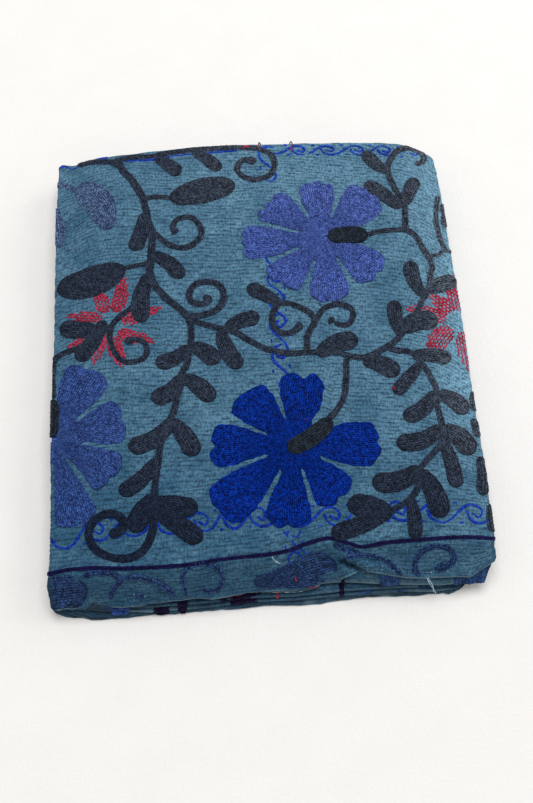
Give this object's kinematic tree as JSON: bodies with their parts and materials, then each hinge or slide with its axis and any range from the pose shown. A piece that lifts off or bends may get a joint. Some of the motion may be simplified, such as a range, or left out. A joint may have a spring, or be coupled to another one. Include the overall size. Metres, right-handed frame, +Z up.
{
  "type": "folded kantha quilt",
  "caption": "Cotton kantha quilt folded into a flat rectangular stack, stitched in close rows and embroidered with vines, leaves and flowers.",
  "frame": {"origin": "centre of the underside's bounding box, on the surface that the quilt rests on", "axes": "+Z up out of the top face, +Y from the front with its hanging hems to the folds at the back, +X to the right seen from the front"},
  "size_m": [0.4658, 0.5636, 0.0629],
  "materials": {
    "quilted_cotton": "overdyed indigo-teal cotton, hand quilted in rows of running stitch and embroidered in navy, blue and red"
  },
  "bodies": {
    "root": {"quilt": "quilted_cotton"}
  },
  "joints": []
}
